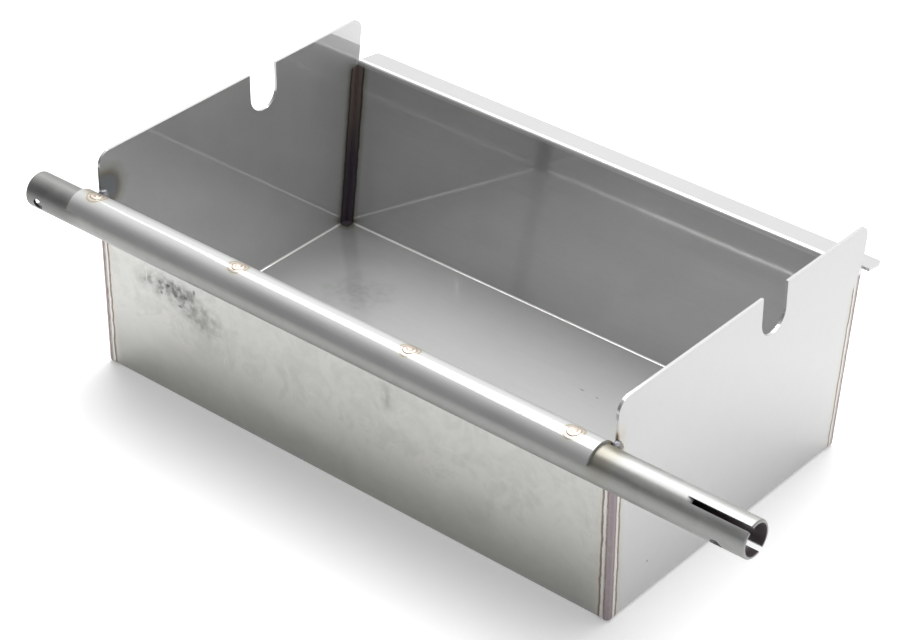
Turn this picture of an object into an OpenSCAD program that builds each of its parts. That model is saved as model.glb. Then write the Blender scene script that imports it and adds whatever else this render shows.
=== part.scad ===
// Open-topped trough folded from one sheet and hung on a tube.
// The sheet's front edge is rolled over the tube. The front faces -Y and Z is up.
// Z is zero on the underside of the floor and Y is zero at the floor's mid depth.

/* [Sheet] */
// thickness of the sheet
sheet_t = 2; // [1:0.5:3]
// inside radius of every fold
fold_r = 1; // [0.5:0.5:4]
// gap left between two panels at a corner before welding
root_gap = 0.3; // [0.1:0.1:0.6]

/* [Trough] */
// length over the two end plates
trough_len = 434; // [200:1:900]
// depth of the floor, outside of the front wall to outside of the rear fold
floor_depth = 243; // [120:1:500]
// height of the rear wall's top fold
rear_h = 130.5; // [60:0.5:300]
// backward lean of the rear wall in degrees
rear_lean = 7; // [0:0.5:20]
// width of the flange behind the rear wall
flange_w = 21; // [10:0.5:60]
// radius of the flange's left corner
flange_left_r = 1.5; // [1:0.5:10]
// radius of the flange's right corner
flange_right_r = 4; // [1:0.5:10]
// how far behind its fold the flange widens over the end plates
flange_step = 2; // [1:0.5:5]
// left end of the flange
flange_x0 = -214.5; // [-450:0.5:-90]
// right end of the flange
flange_x1 = 220; // [90:0.5:450]

/* [End plates] */
// height of the end plates
plate_h = 163; // [100:1:340]
// radius of the plate's front top corner
plate_front_r = 10; // [1:0.5:30]
// radius of the plate's rear top corner
plate_rear_r = 8; // [1:0.5:30]
// how far the plate's ear stays inside the rear wall's outer face
ear_inset = 0.8; // [0.2:0.1:2]
// where the plate's rear edge starts to step back into the ear, below the top fold
ear_step_low = 6.5; // [4:0.5:20]
// where the step ends, below the top fold
ear_step_high = 2; // [1:0.5:3]
// middle of the notch, behind the front wall's face
notch_y = 159; // [60:0.5:300]
// width of the notch
notch_w = 26; // [8:0.5:60]
// depth of the notch from the plate's top edge
notch_depth = 32; // [10:0.5:80]

/* [Pivot tube] */
// outside diameter of the tube
tube_d = 25; // [10:0.5:60]
// wall of the tube
tube_wall = 2; // [1:0.5:4]
// height of the tube's axis
tube_z = 127; // [60:0.5:300]
// left end of the tube
tube_x0 = -260; // [-500:0.5:-100]
// right end of the tube
tube_x1 = 326; // [100:0.5:700]
// chamfer on the tube's ends
tube_chamfer = 0.8; // [0.2:0.1:1.5]
// clearance between the tube and the rolled edge
roll_gap = 0.05; // [0.02:0.01:0.3]

/* [Rolled edge] */
// left end of the rolled edge
roll_x0 = -219; // [-450:0.5:-90]
// right end of the rolled edge
roll_x1 = 215.5; // [90:0.5:450]
// angle above the front at which the rolled edge stops
roll_stop = 22; // [0:1:80]

/* [Tube holes and slot] */
// diameter of both cross holes
cross_d = 8; // [3:0.5:14]
// left cross hole, distance from the tube's end
cross_left_in = 11.5; // [6:0.5:40]
// left cross hole, angle below the front
cross_left_a = 12; // [0:1:90]
// right cross hole, distance from the tube's end
cross_right_in = 20; // [6:0.5:60]
// right cross hole, angle below the front
cross_right_a = 33; // [0:1:90]
// width of the saw slot in the right end
slot_w = 3.6; // [2:0.1:8]
// length of the slot at the bore
slot_len = 41; // [10:0.5:80]
// angle of the slot above the front
slot_a = 61; // [0:1:90]
// radius of the saw that cut the slot
saw_r = 24; // [15:1:60]
// how far the saw reached into the bore
saw_depth = 2; // [1:0.5:4]

/* [Welds] */
// cover of a corner weld on each face beside the corner
weld_cover = 2.2; // [1:0.1:5]
// crown of a corner weld above the sheet
weld_crown = 0.32; // [0.1:0.02:1]
// radius of a corner weld's bead inside the trough
weld_root = 1.1; // [0.5:0.1:3]
// where the front corner welds stop, below the tube's axis
weld_front_stop = 4.6; // [2:0.2:20]
// where the rear corner welds stop, below the top fold
weld_rear_stop = 7; // [4:0.2:20]
// where the rear corner welds' inner beads stop, below the top fold
root_rear_stop = 1; // [0:0.2:20]
// diameter of the plug weld's hole
plug_d = 7; // [4:0.5:12]
// diameter of the plug weld's cap
plug_cap_d = 9.4; // [5:0.2:14]
// height of the plug weld's cap
plug_cap_h = 0.7; // [0.3:0.1:2]
// radius of the plug weld's dome
plug_dome_r = 13; // [8:0.5:20]
// plug welds along the rolled edge
plug_x = [-205, -75, 69, 196.5]; // [-400:0.5:400]
// angle of each plug weld above the front
plug_a = [99, 94, 94, 88]; // [60:1:120]
// radius of the tack welds
tack_r = 3.8; // [2:0.2:6]
// left tack weld, distance behind the front face
tack_left_y = 3; // [0:0.1:4]
// left tack weld, distance inside the end plate's inner face
tack_left_in = 1.2; // [0:0.1:3]
// left tack weld, height above the tube's axis
tack_left_up = 6.5; // [4:0.1:14]
// right tack weld, distance behind the front face
tack_right_y = 0.8; // [0:0.1:4]
// right tack weld, distance outside the end plate's outer face
tack_right_out = 1; // [0:0.1:3]
// right tack weld, height above the tube's axis
tack_right_up = 5.6; // [4:0.1:12]

/* [Hidden] */
$fn = 96;
// how far a cut runs past what it cuts
over = 1;
half_len = trough_len / 2;
inner_x = half_len - sheet_t;
wall_x = inner_x - root_gap;
fold_out = fold_r + sheet_t;
fold_x = half_len - fold_out;
face_y = -floor_depth / 2;
// the leaning wall stands this far inside its fold's circles, so that its faces cross them
lap = 0.01;
// inner face of the leaning wall, from the centre of its fold
wall_n = fold_r - lap;
// the wall starts below its fold's centre line and the fold ends above it, inside each other
wall_d0 = -(cross_at(fold_r) + cross_at(fold_out)) / 2;
fold_lap_a = (acos(1 - lap / fold_r) + acos(1 - lap / fold_out)) / 2;
sl = sin(rear_lean);
cl = cos(rear_lean);
// centre of the rear fold, measured from the front face
rear_u = hundredth(floor_depth - fold_out * (1 - sl) / cl);
// length of the flat rear wall between its two folds
rear_s = hundredth((rear_h - fold_out + fold_r * sl) / cl - fold_out);
tube_r = tube_d / 2;
bore_r = tube_r - tube_wall;
tube_len = tube_x1 - tube_x0;
roll_in = tube_r + roll_gap;
roll_out = roll_in + sheet_t;
tube_y = face_y - roll_in;
notch_low = plate_h - notch_depth + notch_w / 2;
plate_u = sheet_t + root_gap;
// centre of the round on the plate's ear
ear_n = fold_out - ear_inset;
ear_v = plate_h - plate_rear_r;
ear_u = rear_u + ((ear_v - fold_out) * sl + ear_n - plate_rear_r) / cl;

function hundredth(v) = round(100 * v) / 100;

// height above a circle's centre line at which a line this far inside its edge crosses it
function cross_at(r) = sqrt(lap * (2 * r - lap));

function polar(r, a) = [r * cos(a), r * sin(a)];

// a point given across (n) and up (d) the leaning rear wall, from the centre of its fold
function rear_pt(n, d) = [rear_u + n * cl + d * sl, fold_out - n * sl + d * cl];

// slice of a disc between two angles
module disc_part(r, a0, a1) {
    steps = 8;
    intersection() {
        circle(r);
        polygon(concat([[0, 0]],
            [for (i = [0:steps]) polar(2 * r, a0 + (a1 - a0) * i / steps)]));
    }
}

// flat ring between two angles
module ring_part(r0, r1, a0, a1) {
    difference() {
        disc_part(r1, a0, a1);
        circle(r0);
    }
}

// a side profile carried along X
module along_x(x0, x1) {
    translate([x0, 0, 0])
        rotate([90, 0, 90])
            linear_extrude(height = x1 - x0)
                children();
}

// an end profile carried along Y from the front face
module along_y(y0, y1) {
    translate([0, face_y + y1, 0])
        rotate([90, 0, 0])
            linear_extrude(height = y1 - y0)
                children();
}

// turns +Z square to the tube, at an angle above the front
module from_tube(x, a) {
    translate([x, tube_y, tube_z])
        rotate([90 - a, 0, 0])
            children();
}

// round bar on the tube's axis, for cutting what is welded to the tube
module tube_bar(x, r) {
    translate([x - tube_d, tube_y, tube_z])
        rotate([0, 90, 0])
            cylinder(h = 2 * tube_d, r = r);
}

// puts the children's Y on the front face
module from_front() {
    translate([0, face_y, 0])
        children();
}

// leans the children with the rear wall, from the centre of its fold
module on_rear_wall() {
    translate([0, face_y + rear_u, fold_out])
        rotate([-rear_lean, 0, 0])
            children();
}

module floor_profile() {
    translate([fold_out, 0])
        square([rear_u - fold_out, sheet_t]);
}

module front_fold_profile() {
    translate([fold_out, fold_out])
        ring_part(fold_r, fold_out, 180, 270);
}

module front_wall_profile() {
    translate([0, fold_out])
        square([sheet_t, tube_z - fold_out]);
}

module roll_profile() {
    translate([-roll_in, tube_z])
        ring_part(roll_in, roll_out, 0, 180 - roll_stop);
}

module rear_fold_profile() {
    translate([rear_u, fold_out])
        ring_part(fold_r, fold_out, -90, fold_lap_a - rear_lean);
}

// the leaning wall and its top fold, upright
module rear_wall_profile() {
    translate([wall_n, wall_d0])
        square([sheet_t, rear_s - wall_d0]);
    translate([wall_n + fold_out, rear_s])
        ring_part(fold_r, fold_out, 90, 180);
}

// what is cut from a square corner to round it, from the centre of the round
module corner_cut(r) {
    difference() {
        square(r + over);
        circle(r);
    }
}

// the flat of the flange, from its fold
module flange_profile() {
    flat = flange_w - fold_out;
    translate([-wall_x, 0])
        square([2 * wall_x, 2 * flange_step]);
    difference() {
        translate([flange_x0, flange_step])
            square([flange_x1 - flange_x0, flat - flange_step]);
        translate([flange_x1 - flange_right_r, flat - flange_right_r])
            corner_cut(flange_right_r);
        translate([flange_x0 + flange_left_r, flat - flange_left_r])
            mirror([1, 0, 0])
                corner_cut(flange_left_r);
    }
}

module rear_wall() {
    along_x(-wall_x, wall_x)
        rear_wall_profile();
    translate([0, wall_n + fold_out, rear_s + fold_r])
        linear_extrude(height = sheet_t)
            flange_profile();
}

module plate_profile() {
    r = plate_front_r;
    back_n = fold_r - root_gap;
    difference() {
        union() {
            polygon([
                [plate_u, fold_out],
                [plate_u, plate_h - r],
                [plate_u + r, plate_h],
                [ear_u, plate_h],
                [ear_u + plate_rear_r * cl, ear_v - plate_rear_r * sl],
                rear_pt(ear_n, rear_s - ear_step_high),
                rear_pt(back_n, rear_s - ear_step_low),
                rear_pt(back_n, 0),
                [rear_u, fold_out]
            ]);
            translate([plate_u + r, plate_h - r])
                circle(r);
            translate([ear_u, ear_v])
                circle(plate_rear_r);
        }
        translate([notch_y, notch_low])
            circle(notch_w / 2);
        translate([notch_y - notch_w / 2, notch_low])
            square([notch_w, notch_depth]);
    }
}

module right_plate() {
    from_front()
        along_x(inner_x, half_len)
            plate_profile();
}

module side_fold() {
    along_y(fold_out, rear_u)
        translate([fold_x, fold_out])
            ring_part(fold_r, fold_out, 270, 360);
}

module tray() {
    color([0.74, 0.75, 0.75])
        difference() {
            union() {
                from_front() {
                    along_x(-fold_x, fold_x) {
                        floor_profile();
                        front_fold_profile();
                        rear_fold_profile();
                    }
                    along_x(-wall_x, wall_x)
                        front_wall_profile();
                    along_x(roll_x0, roll_x1)
                        roll_profile();
                }
                on_rear_wall()
                    rear_wall();
                for (side = [0, 1])
                    mirror([side, 0, 0]) {
                        side_fold();
                        right_plate();
                    }
            }
            for (i = [0:len(plug_x) - 1])
                from_tube(plug_x[i], plug_a[i])
                    cylinder(h = roll_out + over, d = plug_d);
        }
}

module tube_solid() {
    straight = tube_len - 2 * tube_chamfer;
    r_end = tube_r - tube_chamfer;
    difference() {
        union() {
            cylinder(h = tube_chamfer, r1 = r_end, r2 = tube_r);
            translate([0, 0, tube_chamfer])
                cylinder(h = straight, r = tube_r);
            translate([0, 0, tube_len - tube_chamfer])
                cylinder(h = tube_chamfer, r1 = tube_r, r2 = r_end);
        }
        translate([0, 0, -over])
            cylinder(h = tube_len + 2 * over, r = bore_r);
    }
}

// one saw cut: the saw comes down through the wall and runs out of the end
module saw_cut() {
    reach = bore_r - saw_depth;
    // from the slot's inner end at the bore to the saw's centre
    saw_in = sqrt(saw_depth * (2 * saw_r - saw_depth));
    translate([saw_in, 0, reach + saw_r])
        rotate([90, 0, 0])
            cylinder(h = slot_w, r = saw_r, center = true);
    translate([saw_in, -slot_w / 2, reach])
        cube([slot_len, slot_w, tube_r]);
}

module pivot_tube() {
    color([0.68, 0.69, 0.69])
        difference() {
            translate([tube_x0, tube_y, tube_z])
                rotate([0, 90, 0])
                    tube_solid();
            from_tube(tube_x0 + cross_left_in, -cross_left_a)
                cylinder(h = 2 * tube_d, d = cross_d, center = true);
            from_tube(tube_x1 - cross_right_in, -cross_right_a)
                cylinder(h = 2 * tube_d, d = cross_d, center = true);
            for (turn = [0, 180])
                from_tube(tube_x1 - slot_len, slot_a + turn)
                    saw_cut();
        }
}

// section of a corner weld outside the trough: the panels' inner faces meet at its origin
module weld_section() {
    toe = root_gap + weld_cover;
    crown = sheet_t + weld_crown;
    // centre of the round bead that passes through both toes and rises to the crown
    q = sqrt(2 * weld_crown * (toe + crown)) - toe - weld_crown;
    r = crown - q;
    difference() {
        translate([q, q])
            circle(r);
        translate([-2 * r, -2 * r])
            square([2 * r - root_gap, 2 * r + sheet_t]);
        translate([-2 * r, -2 * r])
            square([2 * r + sheet_t, 2 * r - root_gap]);
    }
}

// section of a corner weld's bead inside the trough
module root_section() {
    intersection() {
        circle(weld_root);
        translate([-weld_root, -weld_root])
            square(weld_root);
    }
}

// closes the corner of the floor, where two folds meet under a wall with this lean and start
module corner_ball(lean, start) {
    difference() {
        intersection() {
            difference() {
                sphere(fold_out);
                sphere(fold_r);
            }
            translate([0, 0, -fold_out])
                cube(fold_out);
        }
        rotate([-lean, 0, 0])
            translate([-over, -over, start])
                cube(fold_out + 2 * over);
    }
}

module front_corner_weld() {
    color([0.55, 0.50, 0.50]) {
        translate([fold_x, face_y + fold_out, fold_out])
            mirror([0, 1, 0])
                corner_ball(0, 0);
        translate([inner_x, face_y + sheet_t, fold_out])
            mirror([0, 1, 0])
                linear_extrude(height = tube_z - weld_front_stop - fold_out) {
                    weld_section();
                    root_section();
                }
    }
}

module rear_corner_weld() {
    color([0.55, 0.50, 0.50]) {
        translate([fold_x, face_y + rear_u, fold_out])
            corner_ball(rear_lean, wall_d0);
        on_rear_wall()
            translate([inner_x, wall_n, wall_d0]) {
                linear_extrude(height = rear_s - wall_d0 - weld_rear_stop)
                    weld_section();
                linear_extrude(height = rear_s - wall_d0 - root_rear_stop)
                    root_section();
            }
    }
}

module plug_weld(x, a) {
    color([0.60, 0.55, 0.50])
        difference() {
            from_tube(x, a) {
                cylinder(h = roll_out + plug_cap_h / 2, d = plug_d);
                intersection() {
                    translate([0, 0, roll_out + plug_cap_h - plug_dome_r])
                        sphere(plug_dome_r);
                    cylinder(h = tube_d, d = plug_cap_d);
                }
            }
            tube_bar(x, tube_r);
            difference() {
                tube_bar(x, roll_out);
                from_tube(x, a)
                    cylinder(h = tube_d, d = plug_d);
            }
        }
}

// tack weld between an end plate's front edge and what lies in front of it
module tack_weld(x, y, up, r_clear) {
    color([0.50, 0.46, 0.46])
        difference() {
            translate([x, face_y + y, tube_z + up])
                sphere(tack_r);
            tube_bar(x, r_clear);
            for (side = [0, 1])
                mirror([side, 0, 0])
                    right_plate();
            from_front()
                along_x(roll_x0, roll_x1)
                    roll_profile();
        }
}

module corner_weld_front_right() {
    front_corner_weld();
}

module corner_weld_front_left() {
    mirror([1, 0, 0])
        front_corner_weld();
}

module corner_weld_rear_right() {
    rear_corner_weld();
}

module corner_weld_rear_left() {
    mirror([1, 0, 0])
        rear_corner_weld();
}

module plug_weld_1() {
    plug_weld(plug_x[0], plug_a[0]);
}

module plug_weld_2() {
    plug_weld(plug_x[1], plug_a[1]);
}

module plug_weld_3() {
    plug_weld(plug_x[2], plug_a[2]);
}

module plug_weld_4() {
    plug_weld(plug_x[3], plug_a[3]);
}

module tack_weld_left() {
    tack_weld(tack_left_in - inner_x, tack_left_y, tack_left_up, roll_out);
}

module tack_weld_right() {
    tack_weld(half_len + tack_right_out, tack_right_y, tack_right_up, tube_r);
}

tray();
pivot_tube();
corner_weld_front_left();
corner_weld_front_right();
corner_weld_rear_left();
corner_weld_rear_right();
plug_weld_1();
plug_weld_2();
plug_weld_3();
plug_weld_4();
tack_weld_left();
tack_weld_right();
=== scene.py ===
import math

import bmesh
import bpy
from mathutils import Matrix, Vector, noise


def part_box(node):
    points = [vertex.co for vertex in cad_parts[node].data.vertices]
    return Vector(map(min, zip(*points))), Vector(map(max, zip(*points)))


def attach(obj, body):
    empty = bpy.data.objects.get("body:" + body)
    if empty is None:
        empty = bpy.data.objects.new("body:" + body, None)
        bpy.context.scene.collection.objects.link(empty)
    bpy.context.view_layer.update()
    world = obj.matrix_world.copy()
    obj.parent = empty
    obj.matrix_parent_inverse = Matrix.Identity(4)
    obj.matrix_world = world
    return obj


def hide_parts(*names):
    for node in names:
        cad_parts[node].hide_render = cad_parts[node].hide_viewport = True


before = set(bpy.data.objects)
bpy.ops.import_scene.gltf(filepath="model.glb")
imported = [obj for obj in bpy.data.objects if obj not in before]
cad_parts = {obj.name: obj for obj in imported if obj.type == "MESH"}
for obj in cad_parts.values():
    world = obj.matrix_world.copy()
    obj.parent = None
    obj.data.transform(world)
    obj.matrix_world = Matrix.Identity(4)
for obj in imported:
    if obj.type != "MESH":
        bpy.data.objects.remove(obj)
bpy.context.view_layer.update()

# ---------------------------------------------------------------- sizes, in metres
MM = 0.001
SHEET = 2 * MM
FOLD_R = 1 * MM               # inside radius of a fold
FOLD_OUT = FOLD_R + SHEET
ROOT_GAP = 0.3 * MM           # between two panels at a corner
LEAN = math.radians(7)        # of the rear wall
PLATE_X = 217 * MM            # outer face of an end plate
INNER_X = PLATE_X - SHEET
REAR_Y = 118.85 * MM          # centre of the rear fold
REAR_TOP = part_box("corner_weld_rear_left")[1].z   # where the rear wall starts to fold back
TACK_R = 3.8 * MM

tube_low, tube_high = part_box("pivot_tube")
TUBE_Y = (tube_low.y + tube_high.y) / 2
TUBE_Z = (tube_low.z + tube_high.z) / 2
TUBE_R = (tube_high.z - tube_low.z) / 2
ROLL_GAP = 0.05 * MM
ROLL_R = TUBE_R + ROLL_GAP + SHEET                # outside radius of the rolled edge
FRONT_Y = TUBE_Y + (TUBE_R + ROLL_GAP)            # outer face of the front wall

CORNERS = ["front_left", "front_right", "rear_left", "rear_right"]
PLUGS = [f"plug_weld_{number}" for number in (1, 2, 3, 4)]
TACKS = ["tack_weld_left", "tack_weld_right"]


def middle(node):
    node_low, node_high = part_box(node)
    return (node_low + node_high) / 2


def tack_centre(node):
    """Centre of a tack weld's ball, which only its neighbours on the low sides cut into."""
    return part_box(node)[1] - Vector((TACK_R, TACK_R, TACK_R))


# ---------------------------------------------------------------- camera, floor and light
CAMERA_AZ = math.radians(40.29)
CAMERA_EL = math.radians(33.54)
CAMERA_ROLL = math.radians(0.22)
CAMERA_AT = Vector((0.0002, -0.0148, 0.0736))
CAMERA_FAR = 1.8548
CAMERA_LENS = 112.8           # in millimetres, on a sensor 36 mm wide

FLOOR_HALF = 12
FLOOR_DROP = 0.2 * MM         # keeps the floor off the trough's underside
FLOOR_WHITE = 0.78
FLOOR_GLOW = 0.3

ROOM_FRONT = 0.10             # how bright the room is in front of the trough
ROOM_BACK = 0.8
ROOM_TOP = 0.5
ROOM_WHITE = (1.0, 1.0, 0.995)

LIGHT_AT = (-0.3, 0.45, 1.45)
LIGHT_AIM = (0, 0, 0.08)
LIGHT_SIDE = 1.5
LIGHT_WATTS = 40


def make_camera():
    data = bpy.data.cameras.new("camera")
    data.sensor_width = 36
    data.lens = CAMERA_LENS
    camera = bpy.data.objects.new("camera", data)
    bpy.context.scene.collection.objects.link(camera)
    flat = math.cos(CAMERA_EL)
    back = Vector((math.sin(CAMERA_AZ) * flat, -math.cos(CAMERA_AZ) * flat, math.sin(CAMERA_EL)))
    turn = (-back).to_track_quat("-Z", "Y").to_matrix() @ Matrix.Rotation(CAMERA_ROLL, 3, "Z")
    camera.matrix_world = Matrix.Translation(CAMERA_AT + back * CAMERA_FAR) @ turn.to_4x4()
    data.clip_end = 50
    bpy.context.scene.camera = camera


def make_light():
    data = bpy.data.lights.new("overhead", "AREA")
    data.size = LIGHT_SIDE
    data.energy = LIGHT_WATTS
    light = bpy.data.objects.new("overhead", data)
    light.location = LIGHT_AT
    aim = Vector(LIGHT_AIM) - Vector(LIGHT_AT)
    light.rotation_mode = "QUATERNION"
    light.rotation_quaternion = aim.to_track_quat("-Z", "Y")
    bpy.context.scene.collection.objects.link(light)


def make_floor():
    """A pale plane that glows a little, so that it comes out nearly white."""
    mesh = bpy.data.meshes.new("studio_floor")
    half = FLOOR_HALF
    corners = [(-half, -half, 0), (half, -half, 0), (half, half, 0), (-half, half, 0)]
    mesh.from_pydata(corners, [], [(0, 1, 2, 3)])
    floor = bpy.data.objects.new("studio_floor", mesh)
    floor.location.z = -FLOOR_DROP
    bpy.context.scene.collection.objects.link(floor)
    material = bpy.data.materials.new("studio_floor")
    material.use_nodes = True
    shader = material.node_tree.nodes["Principled BSDF"]
    shader.inputs["Base Color"].default_value = (FLOOR_WHITE, FLOOR_WHITE, FLOOR_WHITE, 1)
    shader.inputs["Roughness"].default_value = 0.9
    shader.inputs["Specular IOR Level"].default_value = 0.1
    shader.inputs["Emission Color"].default_value = (1, 1, 1, 1)
    shader.inputs["Emission Strength"].default_value = FLOOR_GLOW
    mesh.materials.append(material)


def make_world():
    """A white room behind and above, and a darker one in front."""
    world = bpy.data.worlds.new("studio")
    world.use_nodes = True
    nodes, links = world.node_tree.nodes, world.node_tree.links
    where = nodes.new("ShaderNodeTexCoord")
    direction = nodes.new("ShaderNodeSeparateXYZ")
    links.new(where.outputs["Generated"], direction.inputs[0])

    def glow(axis, start, end, low, high):
        """Strength that rises from low to high as the direction's share of an axis does."""
        made = nodes.new("ShaderNodeMapRange")
        made.interpolation_type = "SMOOTHSTEP"
        made.inputs["From Min"].default_value = start
        made.inputs["From Max"].default_value = end
        made.inputs["To Min"].default_value = low
        made.inputs["To Max"].default_value = high
        links.new(direction.outputs[axis], made.inputs["Value"])
        return made.outputs[0]

    brighter = nodes.new("ShaderNodeMath")
    brighter.operation = "MAXIMUM"
    links.new(glow("Y", -0.75, 0.25, ROOM_FRONT, ROOM_BACK), brighter.inputs[0])
    links.new(glow("Z", 0.35, 0.95, 0.0, ROOM_TOP), brighter.inputs[1])
    links.new(brighter.outputs[0], nodes["Background"].inputs["Strength"])
    nodes["Background"].inputs["Color"].default_value = (*ROOM_WHITE, 1)
    bpy.context.scene.world = world


def make_studio():
    make_camera()
    make_floor()
    make_world()
    make_light()
    bpy.context.scene.view_settings.view_transform = "Standard"


# ---------------------------------------------------------------- shader graph helper
MIX_COLOURS = slice(6, 8)     # the two colour inputs of a Mix node
MIX_RESULT = 2                # its colour output


class Graph:
    """Builds one material from small steps. Where a step takes a value, it may be a number, a tuple
    or another step's output. Places and sizes are in metres, in the object's own frame."""

    def __init__(self, name):
        self.material = bpy.data.materials.new(name)
        self.material.use_nodes = True
        self.tree = self.material.node_tree
        self.shader = self.tree.nodes["Principled BSDF"]
        self.place = self.node("ShaderNodeTexCoord").outputs["Object"]
        parts = self.node("ShaderNodeSeparateXYZ")
        self.put(parts.inputs[0], self.place)
        self.x, self.y, self.z = parts.outputs

    def node(self, kind):
        return self.tree.nodes.new(kind)

    def put(self, socket, value):
        """Links an output to a socket, or sets the socket to a number or a tuple."""
        if isinstance(value, bpy.types.NodeSocket):
            self.tree.links.new(value, socket)
        elif hasattr(value, "__len__") and len(value) == 3 and len(socket.default_value) == 4:
            socket.default_value = (*value, 1)
        else:
            socket.default_value = value

    def math(self, operation, *values):
        made = self.node("ShaderNodeMath")
        made.operation = operation
        for socket, value in zip(made.inputs, values):
            self.put(socket, value)
        return made.outputs[0]

    def add(self, a, b):
        return self.math("ADD", a, b)

    def times(self, a, b):
        return self.math("MULTIPLY", a, b)

    def less(self, a, b):
        return self.math("SUBTRACT", a, b)

    def most(self, a, b):
        return self.math("MAXIMUM", a, b)

    def least(self, a, b):
        return self.math("MINIMUM", a, b)

    def fade(self, value, start, end, low=0.0, high=1.0):
        """Smoothly from low at start to high at end; start may be above end."""
        made = self.node("ShaderNodeMapRange")
        made.interpolation_type = "SMOOTHSTEP"
        made.inputs["From Min"].default_value = start
        made.inputs["From Max"].default_value = end
        made.inputs["To Min"].default_value = low
        made.inputs["To Max"].default_value = high
        self.put(made.inputs["Value"], value)
        return made.outputs[0]

    def band(self, value, start, end, soft):
        """1 between start and end, faded over soft on both sides."""
        return self.least(self.fade(value, start - soft, start), self.fade(value, end + soft, end))

    def noise(self, size, detail=3, rough=0.55, stretch=(1, 1, 1), warp=0.0):
        """Noise from 0 to 1 with blotches about this many metres across."""
        scaled = self.node("ShaderNodeVectorMath")
        scaled.operation = "MULTIPLY"
        self.put(scaled.inputs[0], self.place)
        scaled.inputs[1].default_value = [s / size for s in stretch]
        made = self.node("ShaderNodeTexNoise")
        made.inputs["Scale"].default_value = 1
        made.inputs["Detail"].default_value = detail
        made.inputs["Roughness"].default_value = rough
        made.inputs["Distortion"].default_value = warp
        self.put(made.inputs["Vector"], scaled.outputs[0])
        return made.outputs["Fac"]

    def roughen(self, distance, size, amount, detail=3, rough=0.55):
        """The distance pushed in and out by noise, so that what it bounds has a ragged edge."""
        lumps = self.less(self.noise(size, detail, rough), 0.5)
        return self.add(distance, self.times(lumps, amount))

    def blend(self, share, a, b, mode="MIX"):
        """From a at share 0 to b at share 1."""
        made = self.node("ShaderNodeMix")
        made.data_type = "RGBA"
        made.blend_type = mode
        self.put(made.inputs["Factor"], share)
        for socket, value in zip(made.inputs[MIX_COLOURS], (a, b)):
            self.put(socket, value)
        return made.outputs[MIX_RESULT]

    def shaded(self, colour, shade):
        """A colour made lighter or darker by a shade of about 1."""
        grey = self.node("ShaderNodeCombineXYZ")
        for socket in grey.inputs:
            self.put(socket, shade)
        return self.blend(1.0, colour, grey.outputs[0], "MULTIPLY")

    def ramp(self, value, stops):
        """A colour from stops of (value, colour)."""
        made = self.node("ShaderNodeValToRGB")
        points = made.color_ramp.elements
        while len(points) < len(stops):
            points.new(0.5)
        for point, (position, colour) in zip(points, stops):
            point.position = position
            point.color = (*colour, 1)
        self.put(made.inputs[0], value)
        return made.outputs[0]

    def reach(self, centre, radii):
        """Distance from a point, as a share of the radius along each axis."""
        offset = self.node("ShaderNodeVectorMath")
        offset.operation = "SUBTRACT"
        self.put(offset.inputs[0], self.place)
        offset.inputs[1].default_value = centre
        scaled = self.node("ShaderNodeVectorMath")
        scaled.operation = "DIVIDE"
        self.put(scaled.inputs[0], offset.outputs[0])
        scaled.inputs[1].default_value = radii
        length = self.node("ShaderNodeVectorMath")
        length.operation = "LENGTH"
        self.put(length.inputs[0], scaled.outputs[0])
        return length.outputs["Value"]

    def spot(self, centre, radii, soft=0.5, ragged=0.0):
        """1 in the middle of an ellipsoid to 0 at its edge; soft is the faded share of its radius."""
        reach = self.reach(centre, radii)
        if ragged:
            reach = self.roughen(reach, sum(radii) / 4, ragged, detail=4, rough=0.6)
        return self.fade(reach, 1.0, 1.0 - soft)

    def bump(self, height, distance, strength, under=None):
        """A normal from a height map, laid over another normal if there is one under it."""
        made = self.node("ShaderNodeBump")
        made.inputs["Strength"].default_value = strength
        made.inputs["Distance"].default_value = distance
        self.put(made.inputs["Height"], height)
        if under is not None:
            self.put(made.inputs["Normal"], under)
        return made.outputs[0]

    def brightness(self, colour):
        """A colour's luminance, from 0 to 1."""
        made = self.node("ShaderNodeRGBToBW")
        self.put(made.inputs[0], colour)
        return made.outputs[0]

    def attribute(self, name):
        """A number that the mesh carries at each point."""
        made = self.node("ShaderNodeAttribute")
        made.attribute_name = name
        return made.outputs["Fac"]

    def metal(self, colour, rough, normal, coat=0.0, coat_ior=1.5, coat_rough=0.06):
        """The finished material: bare metal, with a coat where a sharper sheen lies over it."""
        shader = self.shader.inputs
        shader["Metallic"].default_value = 1.0
        self.put(shader["Base Color"], colour)
        self.put(shader["Roughness"], rough)
        self.put(shader["Normal"], normal)
        self.put(shader["Coat Weight"], coat)
        shader["Coat IOR"].default_value = coat_ior
        shader["Coat Roughness"].default_value = coat_rough
        return self.material


# ---------------------------------------------------------------- colours
STEEL = (0.42, 0.425, 0.42)
DRAWN_STEEL = (0.33, 0.335, 0.325)
SILVER = (0.60, 0.60, 0.59)
# painted highlight for the bright lines along the folds
FOLD_HIGHLIGHT = (0.88, 0.88, 0.86)
BROWN = (0.15, 0.095, 0.065)
STRAW = (0.40, 0.345, 0.235)
OLIVE = (0.19, 0.17, 0.11)
ROSE = (0.40, 0.34, 0.295)
DUSK = (0.24, 0.185, 0.165)
PURPLE = (0.13, 0.105, 0.135)
SOOT = (0.075, 0.065, 0.06)
BLUE = (0.17, 0.19, 0.215)
BORE = (0.20, 0.16, 0.18)
HAZE = (0.47, 0.465, 0.415)   # the front wall's pale parts
MURK_AND_SHADE = (0.17, 0.175, 0.15)    # the front wall's dull, handled parts, and painted shade towards its bottom
SMUDGE = (0.08, 0.085, 0.075)
SPECK = (0.04, 0.04, 0.04)
BEAD_GREY = (0.36, 0.36, 0.39)
ROOT_HIGH = (0.15, 0.12, 0.11)
ROOT_LOW = (0.07, 0.06, 0.075)
DUSK_HIGH = 105 * MM          # a weld is brown on the inside above this height
DUSK_LOW = 45 * MM            # and purple below this one


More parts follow.
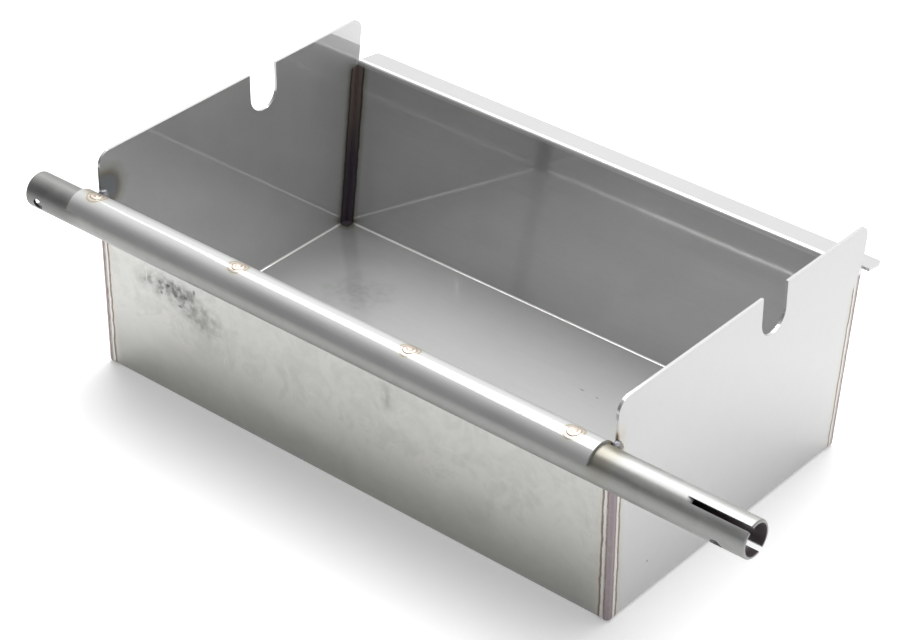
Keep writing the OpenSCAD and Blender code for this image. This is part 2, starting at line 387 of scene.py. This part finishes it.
# ---------------------------------------------------------------- heat tint
def tint_outside(g, reach, base, strength):
    """Colour beside a bead's outer toe: a bright line, a brown line and a straw fringe."""
    reach = g.roughen(reach, 11 * MM, 3 * MM)
    straw = g.fade(reach, 9 * MM, 2.5 * MM, 0.0, 0.55)
    brown = g.band(reach, 2.2 * MM, 3.1 * MM, 0.7 * MM)
    bright = g.fade(reach, 2.2 * MM, 1.4 * MM, 0.0, 0.7)
    colour = g.blend(g.times(straw, strength), base, STRAW)
    colour = g.blend(g.times(g.times(brown, 0.85), strength), colour, BROWN)
    return g.blend(g.times(bright, strength), colour, SILVER)


def tint_inside(g, reach, base, strength):
    """Colour beside a bead's root, where nothing shielded the steel: dusky, then a sooty line."""
    reach = g.roughen(reach, 9 * MM, 2 * MM)
    olive = g.fade(reach, 12 * MM, 6.5 * MM, 0.0, 0.6)
    near = g.fade(reach, 6.8 * MM, 6.0 * MM)
    soot = g.band(reach, 5.6 * MM, 6.6 * MM, 0.7 * MM)
    dusk = g.blend(g.fade(g.z, DUSK_HIGH, DUSK_LOW), DUSK, PURPLE)
    colour = g.blend(g.times(olive, strength), base, OLIVE)
    colour = g.blend(g.times(near, strength), colour, dusk)
    return g.blend(g.times(g.times(soot, 0.9), strength), colour, SOOT)


def corner_tints(g, colour):
    """Heat tint along the four upright corner welds, on both sides of the sheet. A point's reach is
    how far inward it is from the corner's two outer faces, whichever is more."""
    across = g.math("ABSOLUTE", g.x)
    to_plate = g.less(PLATE_X, across)
    on_plate = g.math("GREATER_THAN", across, PLATE_X - SHEET / 2)
    rear_face = g.add(g.times(g.less(g.z, FOLD_OUT), math.tan(LEAN)), REAR_Y + FOLD_OUT / math.cos(LEAN))
    front_height = g.fade(g.z, TUBE_Z + 1 * MM, TUBE_Z - 4 * MM)
    rear_height = g.fade(g.z, REAR_TOP - 4 * MM, REAR_TOP - 10 * MM)
    rear_root_height = g.fade(g.z, REAR_TOP + 1 * MM, REAR_TOP - 2 * MM)
    toe = SHEET + ROOT_GAP + WELD_COVER
    for to_wall, height, root_height in (
        (g.less(g.y, FRONT_Y), front_height, front_height),
        (g.less(rear_face, g.y), rear_height, rear_root_height),
    ):
        outside = g.most(on_plate, g.math("LESS_THAN", to_wall, SHEET / 2))
        reach = g.most(to_plate, to_wall)
        colour = tint_outside(g, g.less(reach, toe), colour, g.times(height, outside))
        inside = g.times(root_height, g.less(1.0, outside))
        colour = tint_inside(g, g.less(reach, SHEET), colour, inside)
    return colour


def plug_tints(g, colour):
    """A rosy disc, a brown ring and a faint straw halo on the rolled edge round each plug weld."""
    for node in PLUGS:
        centre = middle(node)
        centre.z = TUBE_Z + math.sqrt(ROLL_R ** 2 - (centre.y - TUBE_Y) ** 2)
        reach = g.roughen(g.reach(centre, (1, 1, 1)), 6 * MM, 1.6 * MM)
        colour = g.blend(g.fade(reach, 10 * MM, 7 * MM, 0.0, 0.3), colour, STRAW)
        colour = g.blend(g.fade(reach, 7 * MM, 6 * MM, 0.0, 0.6), colour, ROSE)
        colour = g.blend(g.times(g.band(reach, 6.5 * MM, 7.1 * MM, 0.5 * MM), 0.6), colour, OLIVE)
    return colour


def tack_tints(g, colour):
    """A blue-grey patch inside the left end plate and a brown fringe outside the right one."""
    left = tack_centre("tack_weld_left") + Vector((0, 2 * MM, 2 * MM))
    right = tack_centre("tack_weld_right")
    halo = g.spot(left, (12 * MM, 24 * MM, 23 * MM), 0.6, 0.35)
    colour = g.blend(g.times(halo, 0.75), colour, OLIVE)
    ring = g.spot(left, (12 * MM, 18 * MM, 17 * MM), 0.4, 0.35)
    colour = g.blend(g.times(ring, 0.6), colour, BROWN)
    core = g.spot(left, (10 * MM, 14 * MM, 13 * MM), 0.3, 0.3)
    colour = g.blend(g.times(core, 0.85), colour, BLUE)
    fringe = g.spot(right, (9 * MM, 13 * MM, 19 * MM), 0.7, 0.5)
    colour = g.blend(g.times(fringe, 0.8), colour, STRAW)
    burnt = g.spot(right, (6 * MM, 5 * MM, 13 * MM), 0.5, 0.5)
    return g.blend(g.times(burnt, 0.75), colour, BROWN)


# ---------------------------------------------------------------- materials
ALONG = 0.04                  # stretches noise into streaks along the trough
ALONG_TUBE = 0.03
ANY = 1e6                     # a radius so large that its axis doesn't count


def sheet_steel():
    """Dull mill finish under a sharper sheen, cloudy where the front has been handled, with painted
    highlights along the folds and painted shade low on the front wall.
    """
    g = Graph("stainless_sheet")
    clouds = g.noise(70 * MM, 4, 0.55, warp=0.6)
    mottle = g.noise(6 * MM, 3, 0.65)
    streaks = g.noise(3 * MM, 3, 0.6, stretch=(ALONG, 1, 1))
    grain = g.noise(0.5 * MM, 2, 0.7)
    shade = g.add(g.fade(clouds, 0.3, 0.7, 0.95, 1.03), g.fade(grain, 0.25, 0.75, -0.03, 0.03))
    colour = g.shaded(STEEL, shade)
    front = g.band(g.y, FRONT_Y - 0.3 * MM, FRONT_Y + 0.3 * MM, 0.3 * MM)
    cloudy = front_clouds(g, mottle)
    colour = g.blend(g.times(front, 0.8), colour, HAZE)
    # the cloudy patches are handling; the darkening towards the bottom of the front wall is painted
    # shade, for the dark floor it mirrors there
    murk_and_low_shade = g.most(g.times(cloudy, 0.5), g.fade(g.z, 75 * MM, 5 * MM, 0.0, 0.7))
    colour = g.blend(g.times(front, murk_and_low_shade), colour, MURK_AND_SHADE)
    # painted highlight: the folds are made pale where their bends would catch the light
    colour = g.blend(folds(g), colour, FOLD_HIGHLIGHT)
    colour = stains(g, colour, mottle)
    colour = corner_tints(g, colour)
    colour = plug_tints(g, colour)
    colour = tack_tints(g, colour)
    rough = g.add(g.fade(clouds, 0.3, 0.7, 0.67, 0.73), g.fade(streaks, 0.3, 0.7, -0.01, 0.01))
    rough = g.add(rough, g.times(g.times(front, cloudy), -0.08))
    waves = g.bump(g.noise(110 * MM, 1), 1.2 * MM, 0.3)
    brushed = g.bump(streaks, 0.02 * MM, 0.05, waves)
    normal = g.bump(grain, 0.015 * MM, 0.35, brushed)
    # dirt and oxide are dark and have no sheen, the painted shade low on the front wall dulls it too,
    # and the rolled edge has little
    sheen = g.fade(g.brightness(colour), 0.05, 0.36, 0.1, 1.0)
    sheen = g.times(sheen, g.fade(g.y, FRONT_Y - 1.5 * MM, FRONT_Y - 0.5 * MM, 0.4, 1.0))
    return g.metal(colour, rough, normal, coat=sheen, coat_ior=3.2, coat_rough=0.05)


def front_clouds(g, mottle):
    """Patches where handling has clouded the front wall, broken up by the mottle."""
    patches = g.noise(26 * MM, 5, 0.62, warp=1.0)
    return g.add(g.fade(patches, 0.38, 0.64, 0.0, 0.75), g.fade(mottle, 0.35, 0.65, 0.0, 0.25))


def folds(g):
    """1 on the floor's folds and on the flange's, where a painted highlight stands in for the light that
    the bends catch.
    """
    across = g.math("ABSOLUTE", g.x)
    to_side = g.less(across, PLATE_X - FOLD_OUT)
    to_wall = g.most(g.less(FRONT_Y + FOLD_OUT, g.y), g.less(g.y, REAR_Y))
    inner = g.band(g.most(to_side, to_wall), 0.0, FOLD_R, 0.2 * MM)
    low = g.times(inner, g.band(g.z, SHEET, FOLD_OUT, 0.1 * MM))
    behind = g.band(g.y, REAR_Y + 15 * MM, REAR_Y + 19 * MM, 1 * MM)
    top = g.times(behind, g.band(g.z, REAR_TOP, REAR_TOP + 5 * MM, 0.5 * MM))
    return g.most(low, g.times(top, 0.3))


def stains(g, colour, mottle):
    """Smudges, specks and scratches from handling, and a darker patch on the trough's floor. Centres and
    radii are in millimetres.
    """
    front = FRONT_Y / MM
    smudges = (
        ((-150, front, 85), (38, 1.2, 16), 0.9),
        ((-122, front, 72), (26, 1.2, 16), 0.6),
        ((38, front, 86), (8, 1.2, 18), 0.4),
        ((112, front, 34), (30, 1.2, 18), 0.2),
        ((-40, front, 18), (70, 1.2, 16), 0.15),
        # a darker patch on the left of the trough's floor, towards the rear
        ((-142, 52, 2), (34, 30, 4), 0.22),
    )
    specks = (
        ((-153.6, front, 87.8), (2.6, 1, 1.4)),
        ((-129.2, front, 92.6), (1.5, 1, 2.6)),
        ((-160, front, 80), (1.6, 1, 1.6)),
        ((-143, front, 76), (2.2, 1, 1.2)),
        ((PLATE_X / MM, -83.7, 25.5), (1, 1.2, 1.2)),
        ((54, 60.6, 2), (2.2, 0.8, 1)),
        ((67.5, 59.8, 2), (1.6, 0.7, 1)),
    )
    scratches = (
        ((-174, front, 88), (0.5, 1, 9)),
        ((-104, front, 50), (0.4, 1, 6)),
        ((90, front, 70), (7, 1, 0.4)),
    )
    broken = g.fade(mottle, 0.36, 0.62, 0.45, 1.0)
    for centre, radii, strength in smudges:
        smudge = g.times(g.spot(Vector(centre) * MM, Vector(radii) * MM, 0.85, 1.0), broken)
        colour = g.blend(g.times(smudge, strength), colour, SMUDGE)
    for centre, radii in specks:
        speck = g.spot(Vector(centre) * MM, Vector(radii) * MM, 0.6, 0.8)
        colour = g.blend(g.times(speck, 0.6), colour, SPECK)
    for centre, radii in scratches:
        scratch = g.spot(Vector(centre) * MM, Vector(radii) * MM, 0.8)
        colour = g.blend(g.times(scratch, 0.6), colour, SILVER)
    return colour


def tube_steel():
    """Drawn tube, duller than the sheet, tinted where it meets the right tack weld."""
    g = Graph("stainless_tube")
    drawn = g.noise(2 * MM, 3, 0.6, stretch=(ALONG_TUBE, 1, 1))
    clouds = g.noise(20 * MM, 4, 0.6, warp=0.8)
    grain = g.noise(0.4 * MM, 2, 0.7)
    shade = g.add(g.fade(drawn, 0.25, 0.75, 0.90, 1.02), g.fade(clouds, 0.35, 0.7, -0.10, 0.03))
    # the bare left end is darker than the rest
    shade = g.times(shade, g.fade(g.x, -225 * MM, -205 * MM, 0.62, 1.0))
    colour = g.shaded(DRAWN_STEEL, shade)
    tack = tack_centre("tack_weld_right")
    warm = g.spot((tack.x + 2 * MM, TUBE_Y, TUBE_Z + 6 * MM), (20 * MM, 20 * MM, 20 * MM), 0.7, 0.4)
    colour = g.blend(g.times(warm, 0.6), colour, OLIVE)
    from_axis = g.reach((0, TUBE_Y, TUBE_Z), (ANY, 1, 1))
    bore = g.fade(from_axis, TUBE_R - 1.2 * MM, TUBE_R - 1.8 * MM)
    colour = g.blend(g.times(bore, 0.7), colour, BORE)
    rough = g.add(g.fade(drawn, 0.3, 0.7, 0.50, 0.58), g.fade(clouds, 0.3, 0.7, 0.0, 0.06))
    lines = g.bump(drawn, 0.03 * MM, 0.35)
    normal = g.bump(grain, 0.015 * MM, 0.3, lines)
    return g.metal(colour, rough, normal, coat=0.25, coat_ior=2.0, coat_rough=0.2)


def bead_steel():
    """Ripples with a purple-grey middle and paler toes; the root inside the trough is darker."""
    g = Graph("weld_bead")
    across = g.attribute("across")
    cloud = g.noise(5 * MM, 3, 0.6)
    wander = g.add(across, g.times(g.less(cloud, 0.5), 0.5))
    colour = g.ramp(wander, [
        (0.0, (0.27, 0.235, 0.25)),
        (0.45, (0.31, 0.26, 0.265)),
        (0.75, (0.22, 0.165, 0.145)),
        (0.92, (0.62, 0.58, 0.55)),
    ])
    colour = g.blend(g.fade(cloud, 0.45, 0.75, 0.0, 0.5), colour, BEAD_GREY)
    root = g.blend(g.fade(g.z, DUSK_HIGH, DUSK_LOW), ROOT_HIGH, ROOT_LOW)
    colour = g.blend(g.attribute("root"), colour, root)
    rough = g.fade(cloud, 0.3, 0.7, 0.42, 0.54)
    normal = g.bump(g.noise(0.6 * MM, 3), 0.04 * MM, 0.5)
    return g.metal(colour, rough, normal)


def plug_steel():
    """Rings of rose, brown and silver round a bright middle."""
    g = Graph("plug_weld")
    ring = g.roughen(g.attribute("across"), 2.4 * MM, 0.16, detail=2)
    colour = g.ramp(ring, [
        (0.0, (0.52, 0.50, 0.47)),
        (0.24, (0.46, 0.42, 0.37)),
        (0.36, (0.26, 0.215, 0.18)),
        (0.48, (0.30, 0.25, 0.21)),
        (0.62, (0.50, 0.44, 0.39)),
        (0.78, (0.46, 0.39, 0.34)),
        (0.90, (0.28, 0.23, 0.18)),
        (1.0, (0.34, 0.29, 0.23)),
    ])
    rough = g.fade(g.noise(2 * MM, 2), 0.3, 0.7, 0.38, 0.5)
    normal = g.bump(g.noise(0.5 * MM, 3), 0.03 * MM, 0.4)
    return g.metal(colour, rough, normal)


def tack_steel():
    """Blue and brown oxide over grey metal."""
    g = Graph("tack_weld")
    cloud = g.noise(3 * MM, 3, 0.6)
    colour = g.ramp(cloud, [
        (0.30, (0.22, 0.23, 0.27)),
        (0.5, (0.34, 0.34, 0.35)),
        (0.68, (0.40, 0.35, 0.28)),
    ])
    rough = g.fade(cloud, 0.3, 0.7, 0.5, 0.62)
    normal = g.bump(g.noise(0.8 * MM, 3), 0.06 * MM, 0.6)
    return g.metal(colour, rough, normal)


# ---------------------------------------------------------------- mesh helpers
MERGE = 1e-7                  # points closer than this are one


def make_piece(name, mesh, material, node):
    """A visual piece that takes the place of one CAD node."""
    mesh.materials.append(material)
    mesh.shade_smooth()
    piece = bpy.data.objects.new(name, mesh)
    bpy.context.scene.collection.objects.link(piece)
    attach(piece, "root")
    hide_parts(node)
    return piece


def to_mesh(name, shape):
    mesh = bpy.data.meshes.new(name)
    shape.to_mesh(mesh)
    shape.free()
    return mesh


def rings_to_mesh(name, rings, marks):
    """Skins closed rings of equally many points and caps the last one. marks holds, for each ring,
    one list of numbers per layer, which the shader reads by the layer's name."""
    shape = bmesh.new()
    layers = {layer: shape.verts.layers.float.new(layer) for layer in marks[0]}
    rows = []
    for ring, mark in zip(rings, marks):
        row = []
        for i, point in enumerate(ring):
            vert = shape.verts.new(point)
            for layer, key in layers.items():
                vert[key] = mark[layer][i]
            row.append(vert)
        rows.append(row)
    for lower, upper in zip(rows, rows[1:]):
        count = len(lower)
        for i in range(count):
            j = (i + 1) % count
            shape.faces.new((lower[i], lower[j], upper[j], upper[i]))
    shape.faces.new(rows[-1])
    bmesh.ops.remove_doubles(shape, verts=shape.verts, dist=MERGE)
    bmesh.ops.recalc_face_normals(shape, faces=shape.faces)
    return to_mesh(name, shape)


# ---------------------------------------------------------------- corner welds
WELD_COVER = 2.2 * MM         # how far the bead's toe covers each panel
WELD_CROWN = 0.32 * MM        # how far the bead stands proud
WELD_ROOT = 1.1 * MM          # radius of the bead's root
CROWN_STEPS = 20              # steps across the bead's section
ROOT_STEPS = 6
RIPPLE = 1.4 * MM             # pitch of the ripples
RIPPLE_H = 0.10 * MM
RIPPLE_TRAIL = 0.9 * MM       # how far a ripple bends back at the toes
RINGS_PER_RIPPLE = 6
WRAP_RINGS = 14               # rings that wrap under the corner
WOBBLE_LEN = 7 * MM           # the bead wanders over about this length
LIFT_WOBBLE = 0.12 * MM
TOE_WOBBLE = 0.35 * MM
BEAD_END = 2.4 * MM           # length over which the bead sinks to the sheet at its top
REAR_LAP = 0.01 * MM          # the rear panels' overlap with their fold, as in the CAD


def bead_section():
    """The section in the corner's own axes, as (x, y, across, root): the bead, then its hidden side.
    The two inner faces of the sheet meet at its origin, and each wall leaves along a negative axis.
    across is 0 on the crown and 1 at the toes, and root is 1 inside the trough."""
    toe = ROOT_GAP + WELD_COVER
    crown = SHEET + WELD_CROWN
    centre = math.sqrt(2 * WELD_CROWN * (toe + crown)) - toe - WELD_CROWN
    radius = crown - centre
    start = math.atan2(SHEET - centre, -toe - centre)
    end = math.pi / 2 - start
    section = []
    for i in range(CROWN_STEPS + 1):
        share = i / CROWN_STEPS
        angle = start + (end - start) * share
        x = centre + radius * math.cos(angle)
        y = centre + radius * math.sin(angle)
        section.append((x, y, abs(2 * share - 1), 0.0))
    section.append((SHEET, -ROOT_GAP, 1.0, 0.0))
    section.append((0.0, -ROOT_GAP, 1.0, 1.0))
    for i in range(ROOT_STEPS + 1):
        angle = -math.pi / 2 - math.pi / 2 * i / ROOT_STEPS
        section.append((WELD_ROOT * math.cos(angle), WELD_ROOT * math.sin(angle), 0.5, 1.0))
    section.append((-ROOT_GAP, 0.0, 1.0, 1.0))
    section.append((-ROOT_GAP, SHEET, 1.0, 0.0))
    return section


def corner_axes(corner):
    """A corner's origin, its directions sideways, out and up, and the length of its bead."""
    side = -1 if corner.endswith("left") else 1
    sideways = Vector((side, 0, 0))
    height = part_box("corner_weld_" + corner)[1].z - FOLD_OUT
    if corner.startswith("front"):
        origin = Vector((side * INNER_X, FRONT_Y + SHEET, FOLD_OUT))
        return origin, sideways, Vector((0, -1, 0)), Vector((0, 0, 1)), height
    out = Vector((0, math.cos(LEAN), -math.sin(LEAN)))
    up = Vector((0, math.sin(LEAN), math.cos(LEAN)))
    origin = Vector((side * INNER_X, REAR_Y, FOLD_OUT)) + out * (FOLD_R - REAR_LAP)
    return origin, sideways, out, up, height / math.cos(LEAN)


def corner_bead(corner, material, seed):
    """A rippled bead up one corner, wrapped under it over the ball where the two folds meet."""
    origin, sideways, out, up, length = corner_axes(corner)
    section = bead_section()
    ball = Vector((-FOLD_R, -FOLD_R))

    def wobble(along, row):
        return noise.noise(Vector((along / WOBBLE_LEN, seed * 10.0, row)))

    def ring(along, turn, grow):
        """One section. turn is its angle under the corner, and grow is 1 where the bead is full."""
        points, across, root = [], [], []
        for x, y, reach, is_root in section:
            point = Vector((x, y)) - ball
            if not is_root and reach < 1:
                phase = along + RIPPLE_TRAIL * reach * reach
                wave = abs(math.sin(math.pi * phase / RIPPLE)) - 0.5
                lift = wave * RIPPLE_H + wobble(along, 3.0) * LIFT_WOBBLE
                sink = (1 - grow) * WELD_CROWN * 3
                point += point.normalized() * ((lift * (1 - reach ** 4)) - sink * (1 - reach))
                if turn == 0:
                    along_face = Vector((1, 0)) if x < 0 else Vector((0, 1))
                    point += along_face * (wobble(along, 7.0) * TOE_WOBBLE * reach ** 3)
            distance = point.length
            if turn > 0 and not is_root:
                distance = distance + (FOLD_OUT - distance) * (turn / (math.pi / 2)) ** 2
            flat = point.normalized() * distance * math.cos(turn) + ball
            height = max(along, 0.0) - distance * math.sin(turn)
            points.append(origin + sideways * flat.x + out * flat.y + up * height)
            across.append(reach)
            root.append(is_root)
        return points, {"across": across, "root": root}

    made = []
    for i in range(WRAP_RINGS):
        turn = math.pi / 2 * (1 - i / WRAP_RINGS)
        made.append(ring(-turn * FOLD_OUT, turn, 1.0))
    steps = round(length / RIPPLE * RINGS_PER_RIPPLE)
    for i in range(steps + 1):
        along = length * i / steps
        ended = max(0.0, 1 - (length - along) / BEAD_END)
        made.append(ring(along, 0.0, math.sqrt(1 - min(1.0, ended) ** 2)))
    rings, marks = zip(*made)
    mesh = rings_to_mesh("bead_" + corner, rings, marks)
    make_piece("bead_" + corner, mesh, material, "corner_weld_" + corner)


# ---------------------------------------------------------------- plug welds
PLUG_SPREAD = 0.6 * MM        # how far the puddle runs out past the CAD's plug
PLUG_HEIGHT = 0.75 * MM
PLUG_ROOT = 1.2 * MM          # how far the puddle reaches into the rolled edge
PLUG_UNEVEN = 0.12            # share of the radius
PLUG_TILT = 0.10              # share of the height
PLUG_SIDES = 72
PLUG_PROFILE = (              # (share of the radius, share of the height), from the middle outwards
    (0.00, 0.52), (0.10, 0.56), (0.20, 0.50), (0.28, 0.34), (0.36, 0.40), (0.46, 0.58),
    (0.58, 0.62), (0.68, 0.50), (0.76, 0.40), (0.84, 0.42), (0.92, 0.30), (1.00, 0.04),
)


def plug_rosette(node, material, seed):
    """A ringed puddle on the rolled edge."""
    centre = middle(node)
    node_low, node_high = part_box(node)
    rise = math.asin((centre.y - TUBE_Y) / ROLL_R)
    reach = (node_high.x - node_low.x) / 2 + PLUG_SPREAD
    rings, marks = [], []
    for share, height in PLUG_PROFILE:
        ring = []
        for i in range(PLUG_SIDES):
            angle = 2 * math.pi * i / PLUG_SIDES
            uneven = noise.noise(Vector((math.cos(angle), math.sin(angle), seed))) * PLUG_UNEVEN
            tilt = PLUG_TILT * math.cos(angle - seed * 1.7)
            radius = reach * share * (1 + uneven * share)
            lift = (height + tilt * (1 - abs(2 * share - 1))) * PLUG_HEIGHT
            turn = rise + radius * math.sin(angle) / ROLL_R
            out = Vector((0, math.sin(turn), math.cos(turn)))
            on_axis = Vector((centre.x + radius * math.cos(angle), TUBE_Y, TUBE_Z))
            ring.append(on_axis + out * (ROLL_R + lift))
        rings.append(ring)
        marks.append({"across": [share] * PLUG_SIDES})
    foot = []
    for point in rings[-1]:
        on_axis = Vector((point.x, TUBE_Y, TUBE_Z))
        foot.append(on_axis + (point - on_axis).normalized() * (ROLL_R - PLUG_ROOT))
    rings.append(foot)
    marks.append({"across": [1.0] * PLUG_SIDES})
    mesh = rings_to_mesh("plug_" + node[-1], rings, marks)
    piece = make_piece("plug_" + node[-1], mesh, material, node)
    smooth = piece.modifiers.new("smooth", "SUBSURF")
    smooth.levels = smooth.render_levels = 1


# ---------------------------------------------------------------- tack welds
TACK_LUMP = 2.6 * MM          # size of the lumps
TACK_RIPPLE = 0.45 * MM       # size of the ripples


def tack_blob(node, material, seed):
    """An uneven drop of weld metal between an end plate and what it is tacked to."""
    centre = tack_centre(node)
    shape = bmesh.new()
    bmesh.ops.create_icosphere(shape, subdivisions=5, radius=TACK_R)
    for vert in shape.verts:
        lumps = noise.noise(vert.co / TACK_LUMP + Vector((seed, 0, 0)))
        ripples = math.sin(vert.co.z / TACK_RIPPLE)
        vert.co *= 0.96 + 0.10 * lumps + 0.012 * ripples
        vert.co += centre
    name = node.replace("tack_weld", "tack")
    make_piece(name, to_mesh(name, shape), material, node)


# ---------------------------------------------------------------- CAD nodes that stay
def dress(node, material, edge):
    """Gives a CAD node its material and small rounded edges that catch the light."""
    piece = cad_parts[node]
    piece.data.materials.clear()
    piece.data.materials.append(material)
    imported = piece.data.attributes.get("custom_normal")
    if imported:
        piece.data.attributes.remove(imported)
    piece.data.shade_smooth()
    joined = piece.modifiers.new("weld", "WELD")
    joined.merge_threshold = 0.001 * MM
    bevel = piece.modifiers.new("edge", "BEVEL")
    bevel.width = edge
    bevel.segments = 2
    bevel.limit_method = "ANGLE"
    bevel.angle_limit = math.radians(40)
    bevel.miter_outer = "MITER_ARC"
    even = piece.modifiers.new("normals", "WEIGHTED_NORMAL")
    even.keep_sharp = False
    even.weight = 90


# ---------------------------------------------------------------- making it all
make_studio()
dress("tray", sheet_steel(), 0.18 * MM)
dress("pivot_tube", tube_steel(), 0.3 * MM)
bead = bead_steel()
for number, corner in enumerate(CORNERS):
    corner_bead(corner, bead, seed=number + 1)
plug = plug_steel()
for number, node in enumerate(PLUGS):
    plug_rosette(node, plug, seed=number + 0.5)
tack = tack_steel()
for number, node in enumerate(TACKS):
    tack_blob(node, tack, seed=number + 2.5)
